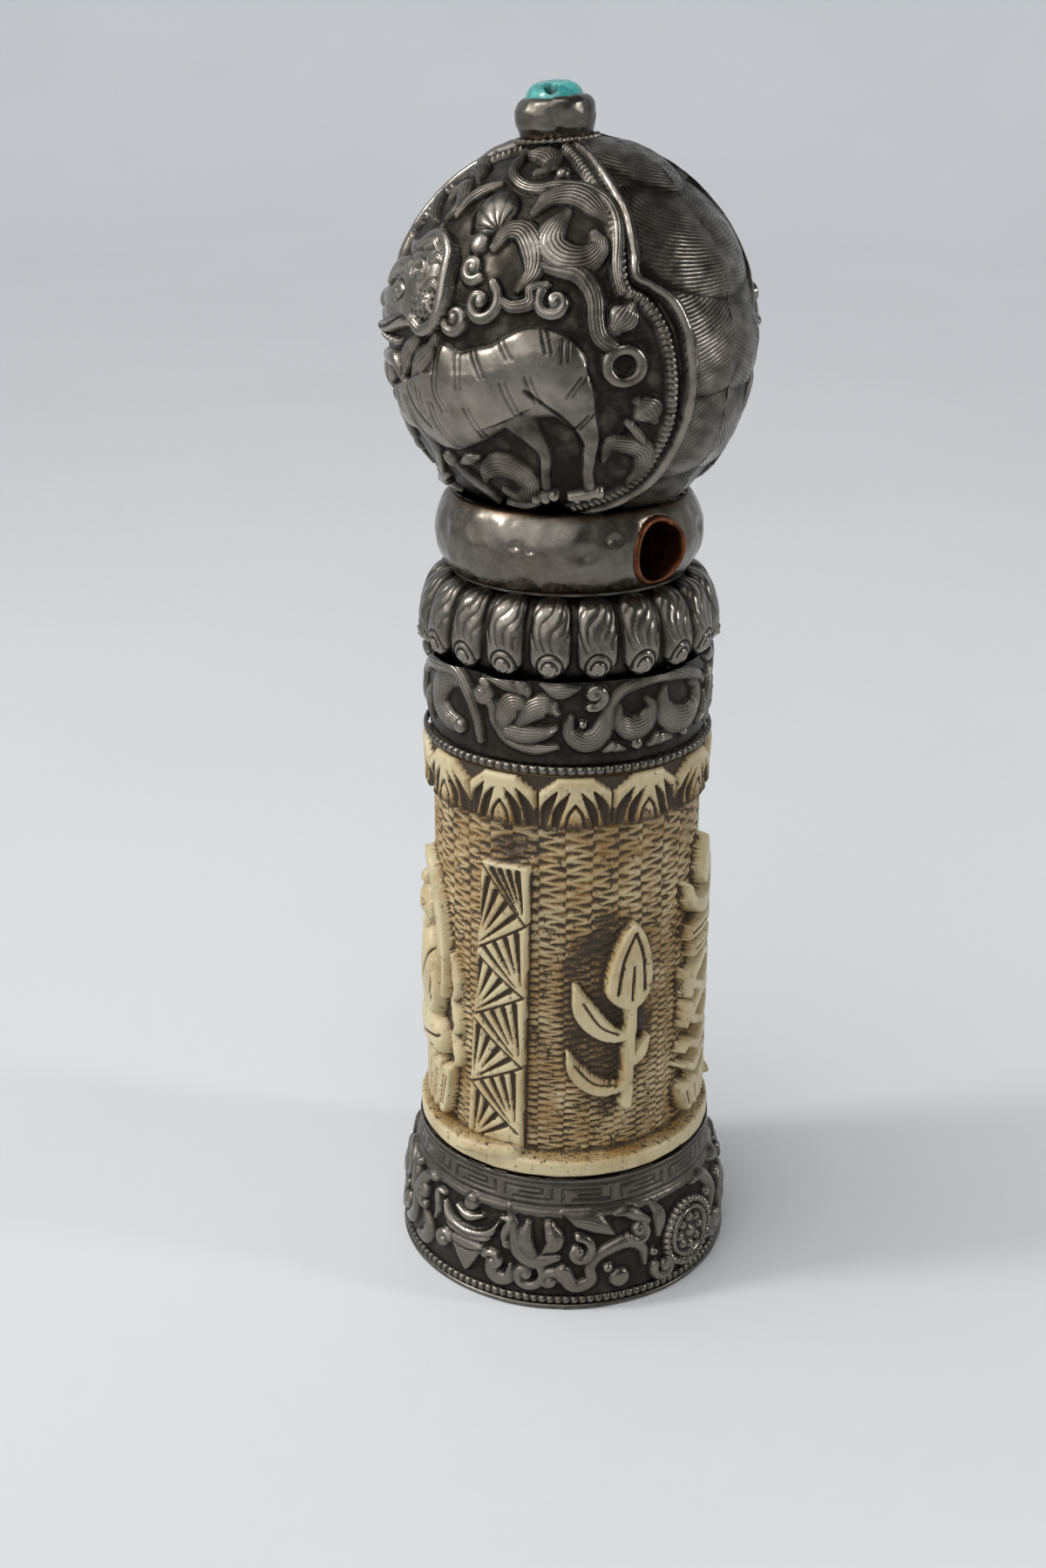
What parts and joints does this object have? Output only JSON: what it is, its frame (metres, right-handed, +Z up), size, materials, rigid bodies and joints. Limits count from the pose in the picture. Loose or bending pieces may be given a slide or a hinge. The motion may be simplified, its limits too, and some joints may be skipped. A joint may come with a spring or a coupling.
{
  "type": "prayer wheel",
  "caption": "Standing prayer wheel: carved bone drum turning on a spindle between a flared silver foot and a lift-off silver cap with an embossed globe and a stone finial.",
  "frame": {"origin": "centre of the foot's underside", "axes": "+Z up along the spindle towards the finial, -Y towards the front, +X to the front's right"},
  "size_m": [0.0636, 0.0636, 0.2155],
  "materials": {
    "silver": "satin",
    "copper": "satin",
    "brass": "satin",
    "iron": "satin",
    "bone": "satin",
    "turquoise": "satin",
    "wood": "matte",
    "paper": "matte",
    "cloth": "matte"
  },
  "bodies": {
    "foot": {"foot_shell": "silver", "foot_wire": "silver", "base_plate": "silver", "foot_seat": "copper", "spindle": "iron", "seat_washer": "brass", "spindle_nut": "iron", "thrust_washer": "brass"},
    "drum": {"drum_shell": "bone", "drum_floor": "wood", "drum_lid": "wood", "lower_bush": "brass", "upper_bush": "brass", "scroll_core": "wood", "prayer_scroll": "paper", "scroll_tie": "cloth"},
    "cap": {"collar_wire": "silver", "collar_band": "silver", "cap_floor": "copper", "spindle_socket": "copper", "lotus_ring": "silver", "neck_plate": "silver", "neck_ring": "silver", "cord_tube": "copper", "globe_front": "silver", "globe_back": "silver", "finial_bezel": "silver", "bezel_wire": "silver", "finial_stone": "turquoise"}
  },
  "joints": [
    {"name": "drum_spin", "type": "hinge", "parent": "foot", "child": "drum", "pos_m": [0, 0, 0.026], "axis": [0, 0, 1], "continuous": true},
    {"name": "cap_lift", "type": "slide", "parent": "foot", "child": "cap", "axis": [0, 0, 1], "range_m": [0, 0.05]}
  ]
}
